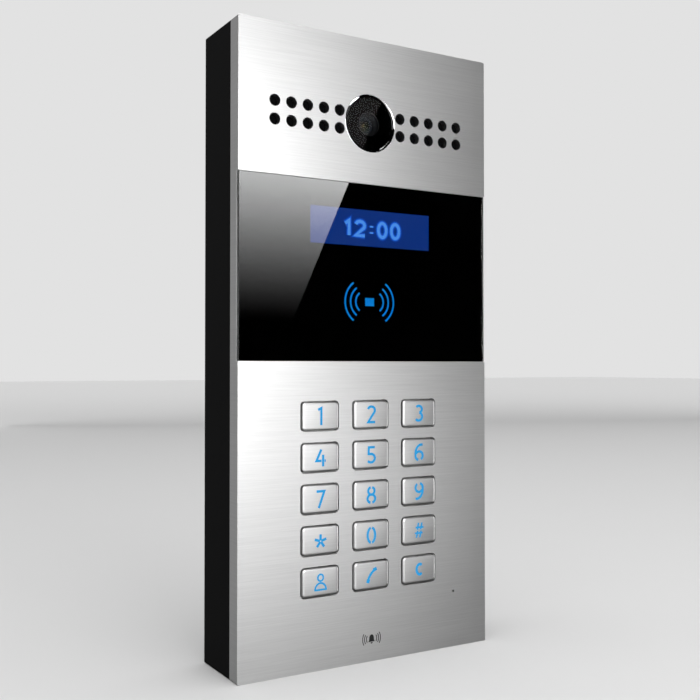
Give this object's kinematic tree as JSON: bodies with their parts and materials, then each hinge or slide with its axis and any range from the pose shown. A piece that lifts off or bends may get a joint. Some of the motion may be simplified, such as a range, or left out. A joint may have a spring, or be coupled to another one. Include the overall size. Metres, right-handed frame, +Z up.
{
  "type": "door intercom panel",
  "caption": "Slim wall-mounted door station: brushed face with camera, sound holes, dark glass display window, card reader symbol and metal keypad on a black housing.",
  "frame": {"origin": "centre of the rear face that lies against the wall", "axes": "+Y into the wall, the front faces -Y, +X to the visitor's right, +Z up"},
  "size_m": [0.13, 0.0367, 0.28],
  "materials": {
    "brushed_aluminium": "fine horizontal brushing, satin",
    "key_metal": "fine brushing with polished edges",
    "window_glass": "flat polished",
    "black_print": "printed black film",
    "display": "lit blue display",
    "grey_plastic": "moulded",
    "black_plastic": "moulded",
    "housing_plastic": "fine moulded texture",
    "circuit_board": "solder mask",
    "copper": "tinned copper track",
    "light_guide": "translucent",
    "polished_ring": "polished chamfer",
    "camera_glass": "tinted, flat polished",
    "lens_glass": "coated lens",
    "white_plastic": "moulded",
    "green_plastic": "moulded",
    "blue_plastic": "moulded",
    "steel": "plated",
    "zinc_steel": "zinc-plated sheet",
    "screw_steel": "plated",
    "cone": "paper-filled film",
    "foam": "closed-cell foam",
    "mesh": "acoustic mesh",
    "silicone": "moulded silicone",
    "lead": "sheathed lead"
  },
  "bodies": {
    "unit": {"front_panel": "brushed_aluminium", "window_glass": "window_glass", "window_film": "black_print", "display_carrier": "grey_plastic", "lcd_glass": "display", "lcd_frame": "black_plastic", "lcd_board": "circuit_board", "antenna_board": "circuit_board", "antenna_coil": "copper", "icon_light_guide": "light_guide", "camera_bezel": "polished_ring", "camera_glass": "camera_glass", "lens_barrel": "black_plastic", "lens_element": "lens_glass", "camera_board": "circuit_board", "camera_bracket": "grey_plastic", "night_lights": "white_plastic", "speaker_frames": "grey_plastic", "speaker_magnets": "steel", "speaker_cones": "cone", "speaker_gaskets": "foam", "speaker_mesh": "mesh", "keypad_mat": "silicone", "keypad_board": "circuit_board", "keypad_leds": "light_guide", "microphone": "steel", "microphone_boot": "foam", "seal_gasket": "foam", "rear_housing": "housing_plastic", "main_board": "circuit_board", "relays": "blue_plastic", "capacitors": "black_plastic", "board_connectors": "white_plastic", "terminal_blocks": "green_plastic", "network_socket": "steel", "tamper_switch": "black_plastic", "tamper_spring": "steel", "wall_bracket": "zinc_steel", "well_seal": "foam", "panel_screws": "screw_steel", "lock_screws": "screw_steel", "small_screws": "screw_steel", "flat_ribbons": "white_plastic", "inner_leads": "lead"},
    "key_1_body": {"key_1": "key_metal"},
    "key_2_body": {"key_2": "key_metal"},
    "key_3_body": {"key_3": "key_metal"},
    "key_4_body": {"key_4": "key_metal"},
    "key_5_body": {"key_5": "key_metal"},
    "key_6_body": {"key_6": "key_metal"},
    "key_7_body": {"key_7": "key_metal"},
    "key_8_body": {"key_8": "key_metal"},
    "key_9_body": {"key_9": "key_metal"},
    "key_star_body": {"key_star": "key_metal"},
    "key_0_body": {"key_0": "key_metal"},
    "key_hash_body": {"key_hash": "key_metal"},
    "key_guard_body": {"key_guard": "key_metal"},
    "key_call_body": {"key_call": "key_metal"},
    "key_clear_body": {"key_clear": "key_metal"},
    "tamper_body": {"tamper_plunger": "white_plastic"}
  },
  "joints": [
    {"name": "key_1_press", "type": "slide", "parent": "unit", "child": "key_1_body", "axis": [0, 1, 0], "range_m": [0, 0.0008], "stiffness_N_per_m": 600, "springref_m": -0.0006, "deforming": ["keypad_mat"]},
    {"name": "key_2_press", "type": "slide", "parent": "unit", "child": "key_2_body", "axis": [0, 1, 0], "range_m": [0, 0.0008], "stiffness_N_per_m": 600, "springref_m": -0.0006, "deforming": ["keypad_mat"]},
    {"name": "key_3_press", "type": "slide", "parent": "unit", "child": "key_3_body", "axis": [0, 1, 0], "range_m": [0, 0.0008], "stiffness_N_per_m": 600, "springref_m": -0.0006, "deforming": ["keypad_mat"]},
    {"name": "key_4_press", "type": "slide", "parent": "unit", "child": "key_4_body", "axis": [0, 1, 0], "range_m": [0, 0.0008], "stiffness_N_per_m": 600, "springref_m": -0.0006, "deforming": ["keypad_mat"]},
    {"name": "key_5_press", "type": "slide", "parent": "unit", "child": "key_5_body", "axis": [0, 1, 0], "range_m": [0, 0.0008], "stiffness_N_per_m": 600, "springref_m": -0.0006, "deforming": ["keypad_mat"]},
    {"name": "key_6_press", "type": "slide", "parent": "unit", "child": "key_6_body", "axis": [0, 1, 0], "range_m": [0, 0.0008], "stiffness_N_per_m": 600, "springref_m": -0.0006, "deforming": ["keypad_mat"]},
    {"name": "key_7_press", "type": "slide", "parent": "unit", "child": "key_7_body", "axis": [0, 1, 0], "range_m": [0, 0.0008], "stiffness_N_per_m": 600, "springref_m": -0.0006, "deforming": ["keypad_mat"]},
    {"name": "key_8_press", "type": "slide", "parent": "unit", "child": "key_8_body", "axis": [0, 1, 0], "range_m": [0, 0.0008], "stiffness_N_per_m": 600, "springref_m": -0.0006, "deforming": ["keypad_mat"]},
    {"name": "key_9_press", "type": "slide", "parent": "unit", "child": "key_9_body", "axis": [0, 1, 0], "range_m": [0, 0.0008], "stiffness_N_per_m": 600, "springref_m": -0.0006, "deforming": ["keypad_mat"]},
    {"name": "key_star_press", "type": "slide", "parent": "unit", "child": "key_star_body", "axis": [0, 1, 0], "range_m": [0, 0.0008], "stiffness_N_per_m": 600, "springref_m": -0.0006, "deforming": ["keypad_mat"]},
    {"name": "key_0_press", "type": "slide", "parent": "unit", "child": "key_0_body", "axis": [0, 1, 0], "range_m": [0, 0.0008], "stiffness_N_per_m": 600, "springref_m": -0.0006, "deforming": ["keypad_mat"]},
    {"name": "key_hash_press", "type": "slide", "parent": "unit", "child": "key_hash_body", "axis": [0, 1, 0], "range_m": [0, 0.0008], "stiffness_N_per_m": 600, "springref_m": -0.0006, "deforming": ["keypad_mat"]},
    {"name": "key_guard_press", "type": "slide", "parent": "unit", "child": "key_guard_body", "axis": [0, 1, 0], "range_m": [0, 0.0008], "stiffness_N_per_m": 600, "springref_m": -0.0006, "deforming": ["keypad_mat"]},
    {"name": "key_call_press", "type": "slide", "parent": "unit", "child": "key_call_body", "axis": [0, 1, 0], "range_m": [0, 0.0008], "stiffness_N_per_m": 600, "springref_m": -0.0006, "deforming": ["keypad_mat"]},
    {"name": "key_clear_press", "type": "slide", "parent": "unit", "child": "key_clear_body", "axis": [0, 1, 0], "range_m": [0, 0.0008], "stiffness_N_per_m": 600, "springref_m": -0.0006, "deforming": ["keypad_mat"]},
    {"name": "tamper_press", "type": "slide", "parent": "unit", "child": "tamper_body", "axis": [0, -1, 0], "range_m": [0, 0.0007], "stiffness_N_per_m": 200, "springref_m": -0.0018, "deforming": ["tamper_spring"]}
  ]
}
